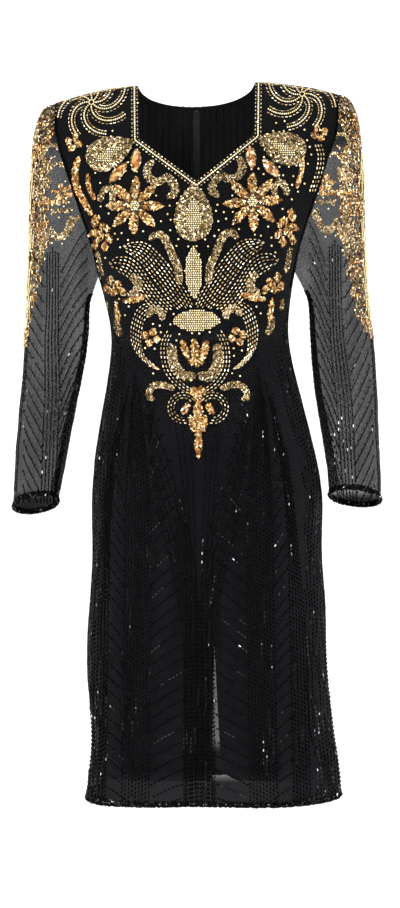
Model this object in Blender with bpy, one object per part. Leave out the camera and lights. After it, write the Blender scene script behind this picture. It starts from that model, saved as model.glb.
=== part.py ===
"""A beaded formal dress, hollow as it is worn: a knee-length sheath with squared shoulders and long sheer
sleeves. Metres, +Z up, front towards -Y. The origin is the middle of the neck, between the two neck points.

Each piece is first worked out symmetrical, as it was cut, and then moved to where the worn dress has it: the
hips sway to one side and one shoulder is a little lower.
"""

import math

import bmesh
import bpy
import numpy as np
from mathutils import Matrix, Vector
from mathutils.bvhtree import BVHTree

# Cloth and seams
WALL = 0.0012  # beaded silk, with its beads
SEAM_GAP = 0.0003
CHAIN_WIDTH, CHAIN_THICK = 0.0090, 0.0014  # the zip's, inside the centre-back seam
CHAIN_DEPTH = WALL + 2.5 * SEAM_GAP  # from the back's outer face to the chain
# From the skirt's outer face to the lining's: at the waist, where it is sewn to the zip, and below
LINING_TOP_INSET = CHAIN_DEPTH + CHAIN_THICK + 1.5 * SEAM_GAP
LINING_MID_INSET, LINING_HEM_INSET = 0.0055, 0.0150
LINING_SEWN = 0.06  # height over which it leaves the waist seam

# Bodice
NECK_HALF = 0.0835  # from the centre to a neck point
NECK_Z = -0.0065
NOTCH_X, NOTCH_Z = 0.0810, -0.0875  # where the neckline turns from upright to slanting
V_Z = -0.151  # the point of the neckline
BACK_NECK_Z = -0.035
SHOULDER_X, SHOULDER_Z = 0.202, -0.0275  # where the shoulder seam meets the armhole
SHOULDER_CURVE = 1.8  # the seam is level near the neck and falls away over the pad
APEX_Z = -0.255
UNDERARM_Z = -0.279
FRONT_ROUNDING = (1.6, 0.75)
BACK_ROUNDING = (4.0, 0.75)
ARMHOLE_DEPTH = 0.062  # forward and back of the shoulder seam
ARMHOLE_ROUNDING = (2.5, 0.5)

# Body section: x to the power n plus y to the power n, a little squarer than an ellipse, and more at the hem
SECTION_POWER, HEM_POWER = 2.4, 3.0
SQUARE_FROM_Z = -0.80
SECTION_DEPTH, SECTION_SAMPLES = 0.7, 300  # about its depth over its width; for spacing its points evenly
FLAT_FROM = 0.4  # of the armhole's height, above which the chest is a plain curve between the armholes

# Hem
HEM_Z = -1.024
HEM_DIP = 0.004  # the hem hangs this much lower at the corners between the front or back and the sides
ROLL_RADIUS = 0.0020
PANEL_END_Z = HEM_Z + 2 * ROLL_RADIUS + SEAM_GAP
FOLD_TOP_Z = -0.60  # soft folds grow from here to the hem
FOLD_DEPTH, FOLD_GROWTH = 0.0055, 1.6
FOLDS = ((5, 0.7, 1.0), (8, 2.4, 0.6), (11, 4.0, 0.35))  # count round the hem, phase, share

# Pose
LEAN = 0.030  # rise of a shoulder for each metre from the centre
LEAN_TOP_Z, LEAN_END_Z = -0.10, -0.60

# Sleeves
# How far the padded head is pushed out, near the seam and further down, and up from a straight fall
HEAD_OUT, HEAD_OUT_LOW, HEAD_UP = 0.0270, 0.0070, 0.0975
HEAD_FALLOFF = 3
HEAD_SHARE = 0.36  # of a sleeve's length
HEAD_SPACING = 1.3  # its rows are closer near the armhole
SLEEVE_OUT = 0.0007  # the sleeve's edge stands this far out from the armhole

# Mesh counts
CHEST_ROWS = 14  # from underarm to shoulder; half of the armhole's points
V_ROW, NOTCH_ROW = 6, 9
BACK_NECK_ROW = 9
COLUMNS = 10  # from the centre to a side seam
SKIRT_ROWS = 18  # from hem to underarm
LINING_ROWS = 7  # above its slit
HEAD_ROWS, ARM_ROWS = 7, 8  # of a sleeve


def table(text):
    """The named columns of a text table, its rows sorted by height."""
    head, *rows = [line.split() for line in text.strip().splitlines()]
    numbers = np.array([[float(word) for word in row] for row in rows])
    numbers = numbers[np.argsort(numbers[:, head.index("z")])]
    return {name: numbers[:, i] for i, name in enumerate(head)}


# Depth of the body at its centre line, forward and back of the side seams
PROFILE = table("""
    z       front   back
    -0.255  0.138   0.107
    -0.279  0.134   0.105
    -0.310  0.118   0.099
    -0.372  0.096   0.090
    -0.418  0.102   0.100
    -0.470  0.112   0.117
    -0.530  0.117   0.131
    -0.580  0.118   0.135
    -0.650  0.118   0.131
    -0.750  0.118   0.125
    -0.900  0.121   0.124
    -1.024  0.126   0.126
""")

# Half of the width between the side seams, and how far the body has swayed
SIDES = table("""
    z       half    sway
    -0.279  0.1397  0.0000
    -0.302  0.1346  0.0010
    -0.340  0.1266  0.0040
    -0.372  0.1246  0.0043
    -0.418  0.1318  0.0072
    -0.464  0.1426  0.0094
    -0.510  0.1520  0.0115
    -0.556  0.1613  0.0137
    -0.602  0.1656  0.0150
    -0.694  0.1645  0.0152
    -0.752  0.1706  0.0158
    -0.818  0.1724  0.0127
    -0.900  0.1748  0.0175
    -0.948  0.1742  0.0215
    -0.991  0.1810  0.0225
    -1.024  0.1825  0.0210
""")

# The armhole seam, from the shoulder to the underarm
ARMHOLE = table("""
    z       x
    -0.0275 0.2020
    -0.055  0.2005
    -0.088  0.1975
    -0.124  0.1840
    -0.151  0.1765
    -0.184  0.1650
    -0.242  0.1460
    -0.279  0.1397
""")

# Each sleeve below its head: its middle and half width on the two sides, its middle forward or back, its
# half depth, and the slopes of its rings: front up, and outer side down
ARM = table("""
    z       left    left_half  right   right_half  y       deep    front_up  outer_down
    -0.314  0.1975  0.0450     0.2013  0.0422       0.003  0.0560  0.00      0.00
    -0.386  0.2020  0.0460     0.2095  0.0460       0.008  0.0530  0.05      0.02
    -0.440  0.2100  0.0425     0.2138  0.0460       0.006  0.0500  0.12      0.05
    -0.500  0.2180  0.0395     0.2190  0.0420      -0.006  0.0450  0.20      0.09
    -0.560  0.2240  0.0362     0.2240  0.0385      -0.027  0.0385  0.32      0.12
    -0.602  0.2285  0.0322     0.2250  0.0370      -0.043  0.0345  0.42      0.15
""")

# The slit in the lining, from its top to the lining's hem: its two edges
SLIT = table("""
    z       left     right
    -0.790  0.0105   0.0115
    -0.900  0.0050   0.0125
    -0.960  0.0000   0.0125
    -0.982  -0.0010  0.0180
    -0.990  -0.0010  0.0330
""")
LINING_TOP_Z, LINING_HEM_Z = -0.372, -0.990


def smooth(rows, name, z):
    """A column's value at height z, on a smooth curve through its rows."""
    heights, values = rows["z"], rows[name]
    slopes = np.gradient(values, heights)
    i = int(np.clip(np.searchsorted(heights, z) - 1, 0, len(heights) - 2))
    step = heights[i + 1] - heights[i]
    t = float(np.clip((z - heights[i]) / step, 0.0, 1.0))
    rise = (values[i + 1] - values[i]) * t * t * (3 - 2 * t)
    bend = slopes[i] * t * (1 - t) ** 2 - slopes[i + 1] * t * t * (1 - t)
    return float(values[i] + rise + step * bend)


def ease(t):
    t = min(max(t, 0.0), 1.0)
    return t * t * (3 - 2 * t)


def rounded(t, powers):
    """1 at t = 0, falling to 0 at t = 1 round a shoulder whose shape the two powers set."""
    return (1 - min(max(t, 0.0), 1.0) ** powers[0]) ** powers[1]


def worn_sleeve(point):
    """A point of a cut sleeve moved to where the worn one has it: a sleeve rises or falls with its shoulder."""
    x, y, z = point
    lean = LEAN * ease((max(z, UNDERARM_Z) - LEAN_END_Z) / (LEAN_TOP_Z - LEAN_END_Z))
    return x, y, z + lean * x


def worn_body(point):
    """The same for the body, whose lean fades towards the hips and which sways below the armholes."""
    x, y, z = point
    lean = LEAN * ease((z - LEAN_END_Z) / (LEAN_TOP_Z - LEAN_END_Z))
    sway = smooth(SIDES, "sway", z) if z < UNDERARM_Z else 0.0
    return x + sway, y, z + lean * x


# The body's surface


def shoulder_z(x):
    t = min(max((abs(x) - NECK_HALF) / (SHOULDER_X - NECK_HALF), 0.0), 1.0)
    return NECK_Z + (SHOULDER_Z - NECK_Z) * t**SHOULDER_CURVE


def armhole_depth(z):
    middle = (SHOULDER_Z + UNDERARM_Z) / 2
    return ARMHOLE_DEPTH * rounded(abs(z - middle) / (SHOULDER_Z - middle), ARMHOLE_ROUNDING)


def chest_depth(x, z, side):
    """How far forward (side "front") or back the body is at x, z, between the armholes."""
    deep = smooth(PROFILE, side, min(z, APEX_Z))
    rounding = FRONT_ROUNDING if side == "front" else BACK_ROUNDING
    deep *= rounded((z - APEX_Z) / (shoulder_z(x) - APEX_Z), rounding)
    edge = armhole_depth(z) if z < SHOULDER_Z else 0.0
    height = (z - UNDERARM_Z) / (SHOULDER_Z - UNDERARM_Z)
    power = SECTION_POWER - (SECTION_POWER - 1) * min(height / FLAT_FROM, 1.0)
    across = min(abs(x) / smooth(ARMHOLE, "x", min(z, SHOULDER_Z)), 1.0)
    return edge + (deep - edge) * (1 - across**SECTION_POWER) ** (1 / power)


def skirt_fold(x, y, z):
    """How far the soft folds carry a point of the skirt out."""
    turn = math.atan2(y, x)
    wave = sum(share * math.cos(count * turn + phase) for count, phase, share in FOLDS)
    return FOLD_DEPTH * max(0.0, (FOLD_TOP_Z - z) / (FOLD_TOP_Z - HEM_Z)) ** FOLD_GROWTH * wave


def section_power(z):
    return SECTION_POWER + (HEM_POWER - SECTION_POWER) * ease((SQUARE_FROM_Z - z) / (SQUARE_FROM_Z - HEM_Z))


def body_point(x, z, side, inset=0.0):
    """The point of the dress's front or back above x, z of the cut."""
    if z >= UNDERARM_Z:
        y = chest_depth(x, z, side)
    else:
        across = min(abs(x) / (smooth(SIDES, "half", z) - inset), 1.0)
        power = section_power(z)
        y = (smooth(PROFILE, side, z) - inset) * (1 - across**power) ** (1 / power)
        z -= HEM_DIP * math.sin(math.pi * across**2) * ease((SQUARE_FROM_Z - z) / (SQUARE_FROM_Z - HEM_Z))
    y = -y if side == "front" else y
    if z < FOLD_TOP_Z and not inset:
        length = math.hypot(x, y)
        out = skirt_fold(x, y, z) / length
        x, y = x * (1 + out), y * (1 + out)
    return x, y + (-SEAM_GAP / 2 if side == "front" else SEAM_GAP / 2), z


# Walls


def sheet_normals(points, quads):
    corners = points[np.array(quads)]
    facing = np.cross(corners[:, 2] - corners[:, 0], corners[:, 3] - corners[:, 1])
    normals = np.zeros_like(points)
    for corner in range(4):
        np.add.at(normals, np.array(quads)[:, corner], facing)
    # At a seam the wall's edge is square to its neighbour's
    normals[np.abs(points[:, 0]) < SEAM_GAP, 0] = 0.0
    normals[np.abs(points[:, 1]) < SEAM_GAP, 1] = 0.0
    return normals / np.linalg.norm(normals, axis=1, keepdims=True)


def cloth(name, points, quads, material, pose):
    """A sheet as a closed wall: its outer points, the same points moved in, and a rim at each open edge.
    Gives back its outer face, for what lies on it."""
    points = np.array(points, float)
    inner = points - WALL * sheet_normals(points, quads)
    count = len(points)
    faces = [tuple(quad) for quad in quads]
    faces += [tuple(count + i for i in reversed(quad)) for quad in quads]
    edges = {}
    for quad in quads:
        for a, b in zip(quad, quad[1:] + quad[:1]):
            edges[a, b] = edges.get((a, b), 0) + 1
    faces += [(b, a, count + a, count + b) for a, b in edges if (b, a) not in edges]
    solid(name, [pose(p) for p in np.vstack([points, inner])], faces, material)
    return BVHTree.FromPolygons([pose(p) for p in points], quads)


def solid(name, points, faces, material):
    mesh = bpy.data.meshes.new(name)
    mesh.from_pydata([tuple(p) for p in points], [], faces)
    mesh.materials.append(material)
    mesh.shade_smooth()
    mesh.set_sharp_from_angle(angle=math.radians(50))
    piece = bpy.data.objects.new(name, mesh)
    bpy.context.scene.collection.objects.link(piece)
    return piece


def split_sheet(left_rows, right_rows, joined):
    """Points and quads of two half sheets whose rows run out from the middle, and that share the middle
    point of each row that joined marks."""
    points, quads, index = [], [], {}
    for half, rows in enumerate((left_rows, right_rows)):
        for j, row in enumerate(rows):
            for k, point in enumerate(row):
                if k == 0 and half and joined[j]:
                    index[half, j, k] = index[0, j, k]
                    continue
                index[half, j, k] = len(points)
                points.append(point)
    for half, rows in enumerate((left_rows, right_rows)):
        for j in range(len(rows) - 1):
            for k in range(len(rows[0]) - 1):
                quad = [index[half, j, k], index[half, j, k + 1]]
                quad += [index[half, j + 1, k + 1], index[half, j + 1, k]]
                quads.append(quad[::-1] if half == 0 else quad)
    return points, quads


def spread(power=SECTION_POWER, count=COLUMNS):
    """Shares of the way from the centre to a side seam, even round the section."""
    turns = np.linspace(0, math.pi / 2, SECTION_SAMPLES)
    x, y = np.sin(turns) ** (2 / power), SECTION_DEPTH * np.cos(turns) ** (2 / power)
    length = np.concatenate([[0.0], np.cumsum(np.hypot(np.diff(x), np.diff(y)))])
    return np.interp(np.linspace(0, length[-1], count + 1), length, x).tolist()


def skirt_heights(top, bottom, count):
    return [bottom + (top - bottom) * j / count for j in range(count + 1)]


# Front and back


def armhole_z(j):
    """Height of the j-th point up the armhole; the points are closest at its two ends."""
    return UNDERARM_Z + (SHOULDER_Z - UNDERARM_Z) * (1 - math.cos(math.pi * j / CHEST_ROWS)) / 2


def front_edge(j):
    """x and z of the inner end of a chest row of the front: the centre line, then the neckline."""
    if j <= V_ROW:
        return 0.0, UNDERARM_Z + (V_Z - UNDERARM_Z) * j / V_ROW
    if j <= NOTCH_ROW:
        t = (j - V_ROW) / (NOTCH_ROW - V_ROW)
        return NOTCH_X * t, V_Z + (NOTCH_Z - V_Z) * t
    t = (j - NOTCH_ROW) / (CHEST_ROWS - NOTCH_ROW)
    return NOTCH_X + (NECK_HALF - NOTCH_X) * t, NOTCH_Z + (NECK_Z - NOTCH_Z) * math.sin(math.pi / 2 * t)


def back_edge(j):
    if j <= BACK_NECK_ROW:
        t = math.sin(math.pi / 2 * j / BACK_NECK_ROW)
        return 0.0, UNDERARM_Z + (BACK_NECK_Z - UNDERARM_Z) * t
    turn = math.pi / 2 * (j - BACK_NECK_ROW) / (CHEST_ROWS - BACK_NECK_ROW)
    return NECK_HALF * math.sin(turn), BACK_NECK_Z + (NECK_Z - BACK_NECK_Z) * (1 - math.cos(turn))


def panel_rows(side, edge, sign):
    """Rows of points of half a panel, from the hem up and from the centre out towards -X or +X."""
    rows = []
    heights = skirt_heights(UNDERARM_Z, PANEL_END_Z, SKIRT_ROWS)
    for z in heights[:-1]:
        half = smooth(SIDES, "half", z)
        rows.append([body_point(sign * half * share, z, side) for share in spread(section_power(z))])
    for j in range(CHEST_ROWS + 1):
        (x_in, z_in), z_out = edge(j), armhole_z(j)
        x_out = smooth(ARMHOLE, "x", z_out)
        row = []
        for share in spread():
            x = x_in + (x_out - x_in) * share
            z = z_in + (z_out - z_in) * share if j < CHEST_ROWS else shoulder_z(x)
            row.append(body_point(sign * x, z, side))
        rows.append(row)
    return rows


def make_front(material):
    left, right = (panel_rows("front", front_edge, sign) for sign in (-1, 1))
    joined = [j <= len(left) - 1 - CHEST_ROWS + V_ROW for j in range(len(left))]
    points, quads = split_sheet(left, right, joined)
    return cloth("front", points, quads, material, worn_body)


def make_back(name, sign, material):
    rows = panel_rows("back", back_edge, sign)
    rows = [[(sign * max(abs(x), SEAM_GAP / 2), y, z) for x, y, z in row] for row in rows]
    width = len(rows[0])
    points = [point for row in rows for point in row]
    quads = []
    for j in range(len(rows) - 1):
        for k in range(width - 1):
            quad = [j * width + k, (j + 1) * width + k, (j + 1) * width + k + 1, j * width + k + 1]
            quads.append(quad if sign > 0 else quad[::-1])
    cloth(name, points, quads, material, worn_body)


# Sleeves


def armhole_point(turn):
    """A point of the armhole; turn 0 is the shoulder tip, a quarter turn the front, half a turn the underarm."""
    z = UNDERARM_Z + (SHOULDER_Z - UNDERARM_Z) * (1 + math.cos(turn)) / 2
    forward = armhole_depth(z) * (1 if math.sin(turn) > 0 else -1)
    return Vector((smooth(ARMHOLE, "x", z), -forward, z))


def ring_point(side, turn, z):
    """A point of the ring of the arm at height z; turn 0 is the outer side, a quarter turn the front."""
    across = smooth(ARM, side + "_half", z) * math.cos(turn)
    forward = smooth(ARM, "deep", z) * math.sin(turn)
    rise = smooth(ARM, "front_up", z) * forward - smooth(ARM, "outer_down", z) * across
    return Vector((smooth(ARM, side, z) + across, smooth(ARM, "y", z) - forward, z + rise))


def sleeve_point(side, turn, t, end=0.0):
    """A point of a sleeve, t from 0 at the armhole to 1 at the cuff, which end shortens."""
    top, cuff = ARM["z"][-1], ARM["z"][0] + end
    if t >= HEAD_SHARE:
        point = ring_point(side, turn, top + (cuff - top) * (t - HEAD_SHARE) / (1 - HEAD_SHARE))
    else:
        t /= HEAD_SHARE
        start, stop = armhole_point(turn), ring_point(side, turn, top)
        push = ((1 + math.cos(turn)) / 2) ** HEAD_FALLOFF
        near = start.lerp(stop, 1 / 3) + Vector((HEAD_OUT, 0, HEAD_UP)) * push
        far = start.lerp(stop, 2 / 3) + Vector((HEAD_OUT_LOW, 0, HEAD_UP)) * push
        point = start * (1 - t) ** 3 + (near * (1 - t) + far * t) * 3 * t * (1 - t) + stop * t**3
    sign = 1 if side == "right" else -1
    return sign * (point.x + SLEEVE_OUT), point.y, point.z


def make_sleeve(side, material):
    shares = [HEAD_SHARE * (j / HEAD_ROWS) ** HEAD_SPACING for j in range(HEAD_ROWS)]
    shares += [HEAD_SHARE + (1 - HEAD_SHARE) * j / ARM_ROWS for j in range(ARM_ROWS + 1)]
    width = 2 * CHEST_ROWS
    turns = [2 * math.pi * k / width for k in range(width)]
    end = 2 * ROLL_RADIUS + SEAM_GAP
    points = [sleeve_point(side, turn, t, end) for t in shares for turn in turns]
    quads = []
    for j in range(len(shares) - 1):
        for k in range(width):
            after = (k + 1) % width
            quad = [j * width + k, j * width + after, (j + 1) * width + after, (j + 1) * width + k]
            quads.append(quad if side == "right" else quad[::-1])
    return cloth("sleeve_" + side, points, quads, material, worn_sleeve)


# Lining


def lining_inset(z):
    """The lining hangs straighter than the skirt over it, so it stands further in towards the hem."""
    near = ease((LINING_TOP_Z - z) / LINING_SEWN)
    far = ease((LINING_TOP_Z - z) / (LINING_TOP_Z - LINING_HEM_Z))
    inset = LINING_TOP_INSET + (LINING_MID_INSET - LINING_TOP_INSET) * near
    return inset + (LINING_HEM_INSET - LINING_MID_INSET) * far


def make_lining(side, material):
    """A lining panel of the skirt, set in from the panel over it, with a slit open to its hem."""
    slit_top = SLIT["z"][-1]
    heights = skirt_heights(LINING_TOP_Z, slit_top, LINING_ROWS)
    heights = sorted({*SLIT["z"], LINING_TOP_Z - LINING_SEWN / 3, *heights})
    halves = {-1: [], 1: []}
    for z in heights:
        half = smooth(SIDES, "half", z) - lining_inset(z)
        edges = [np.interp(z, SLIT["z"], SLIT[name]) for name in ("left", "right")]
        if z >= slit_top:
            edges = [sum(edges) / 2 * (LINING_TOP_Z - z) / (LINING_TOP_Z - slit_top)] * 2
        for sign, edge in zip((-1, 1), edges):
            row = []
            for share in spread(section_power(z)):
                x = edge + (sign * half - edge) * share
                row.append(body_point(x, z, side, lining_inset(z)))
            halves[sign].append(row)
    joined = [z >= slit_top for z in heights]
    points, quads = split_sheet(halves[-1], halves[1], joined)
    if side == "back":
        quads = [quad[::-1] for quad in quads]
    cloth("lining_" + side, points, quads, material, worn_body)


# Rolled edges


def make_roll(name, path, material, pose, sides=6):
    """A closed tube round an edge."""
    points, count = [], len(path)
    for i in range(count):
        along = (Vector(path[(i + 1) % count]) - Vector(path[i - 1])).normalized()
        out = along.cross(Vector((0, 0, 1))).normalized()
        up = out.cross(along)
        for k in range(sides):
            turn = 2 * math.pi * k / sides
            offset = (out * math.cos(turn) + up * math.sin(turn)) * ROLL_RADIUS
            points.append(pose(Vector(path[i]) + offset))
    faces = []
    for i in range(count):
        for k in range(sides):
            a, b = i * sides + k, i * sides + (k + 1) % sides
            c, d = (i + 1) % count * sides + (k + 1) % sides, (i + 1) % count * sides + k
            faces.append((a, d, c, b))
    solid(name, points, faces, material)


def hem_path():
    """Through the bottom corners of the panels: along the front to +X, and back to -X along the back."""
    z = HEM_Z + ROLL_RADIUS
    half = smooth(SIDES, "half", z)
    shares = spread(section_power(z))
    path = []
    for side, row in (("front", [-share for share in shares[:0:-1]] + shares[:-1]),
                      ("back", shares[:0:-1] + [-share for share in shares[:-1]])):
        for share in row:
            x, y, low = body_point(half * share, z, side)
            inward = 1 - WALL / 2 / math.hypot(x, y)
            path.append((x * inward, y * inward, low))
    return path


def cuff_path(side, steps=22):
    z = ARM["z"][0] + ROLL_RADIUS
    sign = 1 if side == "right" else -1
    path = []
    for i in range(steps):
        point = ring_point(side, -sign * 2 * math.pi * i / steps, z)
        path.append((sign * (point.x + SLEEVE_OUT), point.y, point.z))
    return path


# Raised beadwork


def drop(turn):
    """A point of a drop's outline, its tip at a quarter turn."""
    return 1.22 * math.cos(turn) * ((1 - math.sin(turn)) / 2) ** 0.35, math.sin(turn)


def almond(turn):
    return math.cos(turn) * abs(math.cos(turn)) ** 0.6, math.sin(turn)


def oval(turn):
    return math.cos(turn), math.sin(turn)


def star(turn):
    """Eight petals."""
    reach = 0.70 + 0.30 * math.cos(8 * turn)
    return reach * math.cos(turn), reach * math.sin(turn)


# On the front: x of the pair's middle, how far from it, and z; half width and half height; how far the top
# turns towards the centre, in degrees; height; material. What isn't in the middle comes as a mirrored pair.
MOTIF_X = -0.0041
FRONT_RELIEF = {
    "drop_centre": (drop, MOTIF_X, 0.0, -0.1945, 0.0265, 0.0425, 0, 0.0030, "gold"),
    "marquise_centre": (almond, MOTIF_X, 0.0, -0.2775, 0.0118, 0.0385, 0, 0.0030, "pearl"),
    "oval_centre": (oval, MOTIF_X, 0.0, -0.3430, 0.0320, 0.0155, 0, 0.0040, "pearl"),
    "drop": (drop, -0.0005, 0.1199, -0.1055, 0.0252, 0.0360, 66, 0.0030, "gold"),
    "star": (star, MOTIF_X, 0.0815, -0.1820, 0.0365, 0.0365, 0, 0.0022, "amber"),
    "stone_inner": (almond, MOTIF_X, 0.0800, -0.1195, 0.0058, 0.0170, 5, 0.0035, "amber"),
    "stone_outer": (almond, -0.0027, 0.1059, -0.1355, 0.0058, 0.0170, 42, 0.0035, "amber"),
}

# Pearl ovals down each sleeve's outer side: turn round the arm, share of the length, half width and height
SLEEVE_RELIEF = {
    "upper": (0.42, 0.215, 0.010, 0.036),
    "middle": (0.50, 0.285, 0.011, 0.018),
    "lower": (0.40, 0.372, 0.009, 0.032),
}
SLEEVE_RELIEF_HEIGHT = 0.0030
RELIEF_GAP = 0.0009  # between two facetted faces, clear of the ridges in between
RELIEF_RIM = 0.0008
RELIEF_ROUNDNESS = 0.75  # height of the dome half way out
RELIEF_ANGLES = 16


def make_relief(name, surface, lies_on, outline, centre, half, slant, height, material):
    """A low dome on a piece of cloth. surface(a, b) gives a point at or near the outer face lies_on."""
    step = 1e-4
    middle = Vector(surface(*centre))
    across = (Vector(surface(centre[0] + step, centre[1])) - middle).length / step
    along = (Vector(surface(centre[0], centre[1] + step)) - middle).length / step
    shoulder = RELIEF_RIM + RELIEF_ROUNDNESS * (height - RELIEF_RIM)
    rings = ((1.0, 0.0), (0.5, 0.0), (0.0, 0.0), (0.0, height), (0.5, shoulder), (1.0, RELIEF_RIM))
    points, starts = [], []
    for share, lift in rings:
        starts.append(len(points))
        for i in range(RELIEF_ANGLES if share else 1):
            a, b = outline(2 * math.pi * i / RELIEF_ANGLES)
            a, b = a * half[0] * share, b * half[1] * share
            a, b = a * math.cos(slant) + b * math.sin(slant), b * math.cos(slant) - a * math.sin(slant)
            near = surface(centre[0] + a / across, centre[1] + b / along)
            place, normal = lies_on.find_nearest(near)[:2]
            points.append(place + normal * (RELIEF_GAP + lift))
    faces = []
    for first in range(len(rings)):
        second = (first + 1) % len(rings)
        for i in range(RELIEF_ANGLES):
            after = (i + 1) % RELIEF_ANGLES
            a, b, c, d = (starts[first] + i, starts[first] + after, starts[second] + after, starts[second] + i)
            if rings[first][0] and rings[second][0]:
                faces.append((a, b, c, d))
            elif rings[first][0]:
                faces.append((a, b, starts[second]))
            elif rings[second][0]:
                faces.append((starts[first], c, d))
    piece = solid(name, points, faces, material)
    face_out(piece)


def face_out(piece):
    """Turns all the faces of a closed mesh outwards."""
    shape = bmesh.new()
    shape.from_mesh(piece.data)
    bmesh.ops.recalc_face_normals(shape, faces=shape.faces)
    shape.to_mesh(piece.data)
    shape.free()


def front_surface(x, z):
    return worn_body(body_point(x, z, "front"))


def make_front_relief(front, materials):
    for name, (outline, middle, away, z, wide, tall, slant, height, kind) in FRONT_RELIEF.items():
        for suffix, sign in (("_left", -1), ("_right", 1)) if away else (("", 1),):
            centre, turn = (middle + sign * away, z), math.radians(-sign * slant)
            make_relief(name + suffix, front_surface, front, outline, centre, (wide, tall), turn, height,
                        materials[kind])


def make_sleeve_relief(side, sleeve, material):
    def surface(turn, share):
        return worn_sleeve(sleeve_point(side, turn, share))

    for place, (turn, share, wide, tall) in SLEEVE_RELIEF.items():
        name = "pearls_%s_%s" % (side, place)
        size = (wide, tall)
        make_relief(name, surface, sleeve, oval, (turn, share), size, 0, SLEEVE_RELIEF_HEIGHT, material)


# Zip at the centre back

ZIP_TOP_Z, ZIP_END_Z = -0.046, -0.570
SLIDER = (0.0070, 0.0024, 0.0100)  # width, thickness, height
BRIDGE = (0.0012, 0.0030, 0.0074)  # width, height off the slider, length
BRIDGE_BAR = 0.0008
TAB = (0.0054, 0.0010, 0.0220)
EYE_HALF, EYE_END = 0.0014, 0.0043  # opening in the tab that the bridge stands in
TAB_HEAD = 0.0006  # of the tab above the joint's axis
AXIS_OFF = 0.0011  # of the joint's axis off the slider's face
SLIDER_DROP = 0.0075  # from the zip's top to the middle of the slider


def zip_frame():
    """Where the slider sits: its middle on the cloth, and the axes across, out of the cloth and up along it."""
    z = ZIP_TOP_Z - SLIDER_DROP
    half = SLIDER[2] / 2
    low, high = (Vector(body_point(0.0, z + d, "back")) for d in (-half, half))
    up = (high - low).normalized()
    across = Vector((1, 0, 0))
    out = up.cross(across).normalized()
    place = (low + high) / 2
    middle = Vector(body_point(0.0, z, "back"))
    place += out * max(0.0, (middle - place).dot(out))
    return Matrix((across, out, up)).transposed().to_4x4(), place + out * SEAM_GAP


def block(name, size, middle):
    """A box as its own object, its place in its mesh."""
    mesh = bpy.data.meshes.new(name)
    shape = bmesh.new()
    bmesh.ops.create_cube(shape, size=1.0, matrix=Matrix.Translation(middle) @ Matrix.Diagonal((*size, 1)))
    shape.to_mesh(mesh)
    shape.free()
    piece = bpy.data.objects.new(name, mesh)
    bpy.context.scene.collection.objects.link(piece)
    return piece


def combine(piece, other, operation):
    change = piece.modifiers.new(other.name, "BOOLEAN")
    change.operation = operation
    change.object = other
    change.solver = "EXACT"
    other.hide_render = True
    other.display_type = "WIRE"


def make_zip(cloth_black, metal):
    turned, place = zip_frame()
    matrix = Matrix.Translation(place) @ turned
    width, thick, height = SLIDER
    slider = block("zip_slider", SLIDER, (0, thick / 2, 0))
    sink = 0.0003
    bridge = block("bridge", (BRIDGE[0], BRIDGE[1] + sink, BRIDGE[2]), (0, thick + (BRIDGE[1] - sink) / 2, 0))
    gap = BRIDGE[1] - BRIDGE_BAR
    window = block("bridge_window", (0.01, gap, BRIDGE[2] - 2 * BRIDGE_BAR), (0, thick + gap / 2, 0))
    rounding = slider.modifiers.new("edges", "BEVEL")
    rounding.width, rounding.segments = 0.0005, 1
    combine(bridge, window, "DIFFERENCE")
    combine(slider, bridge, "UNION")
    tab = block("zip_pull", (TAB[0], TAB[1], TAB[2]), (0, 0, TAB_HEAD - TAB[2] / 2))
    eye_top = 0.0005
    eye = block("eye", (2 * EYE_HALF, 0.01, EYE_END - eye_top), (0, 0, -(EYE_END + eye_top) / 2))
    combine(tab, eye, "DIFFERENCE")
    for piece in (slider, bridge, window):
        piece.matrix_world = matrix
    for piece in (tab, eye):
        piece.matrix_world = matrix @ Matrix.Translation((0, thick + AXIS_OFF, 0))
    for piece in (slider, tab):
        piece.data.materials.append(metal)
    # The chain lies inside the seam
    heights = [z for z in skirt_heights(UNDERARM_Z, PANEL_END_Z, SKIRT_ROWS)[:-1] if z > ZIP_END_Z]
    heights += [back_edge(j)[1] for j in range(BACK_NECK_ROW)]
    points, faces = [], []
    for z in heights:
        here, above = (Vector(body_point(0.0, z + d, "back")) for d in (-1e-4, 1e-4))
        inward = (above - here).normalized().cross(Vector((1, 0, 0))).normalized()
        if inward.y > 0:
            inward = -inward
        for depth in (CHAIN_DEPTH, CHAIN_DEPTH + CHAIN_THICK):
            for x in (-CHAIN_WIDTH / 2, CHAIN_WIDTH / 2):
                points.append(worn_body(here + inward * depth + Vector((x, 0, 0))))
    for j in range(len(heights) - 1):
        a = 4 * j
        for first, second in ((0, 1), (1, 3), (3, 2), (2, 0)):
            faces.append((a + first, a + second, a + 4 + second, a + 4 + first))
    last = len(points) - 4
    faces += [(0, 2, 3, 1), (last, last + 1, last + 3, last + 2)]
    face_out(solid("zip_chain", points, faces, cloth_black))


def finish(name, colour, roughness, metallic=0.0, sheen=0.0):
    material = bpy.data.materials.new(name)
    material.use_nodes = True
    shader = material.node_tree.nodes["Principled BSDF"]
    shader.inputs["Base Color"].default_value = (*colour, 1)
    shader.inputs["Roughness"].default_value = roughness
    shader.inputs["Metallic"].default_value = metallic
    shader.inputs["Sheen Weight"].default_value = sheen
    material.diffuse_color = (*colour, 1)
    return material


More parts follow.
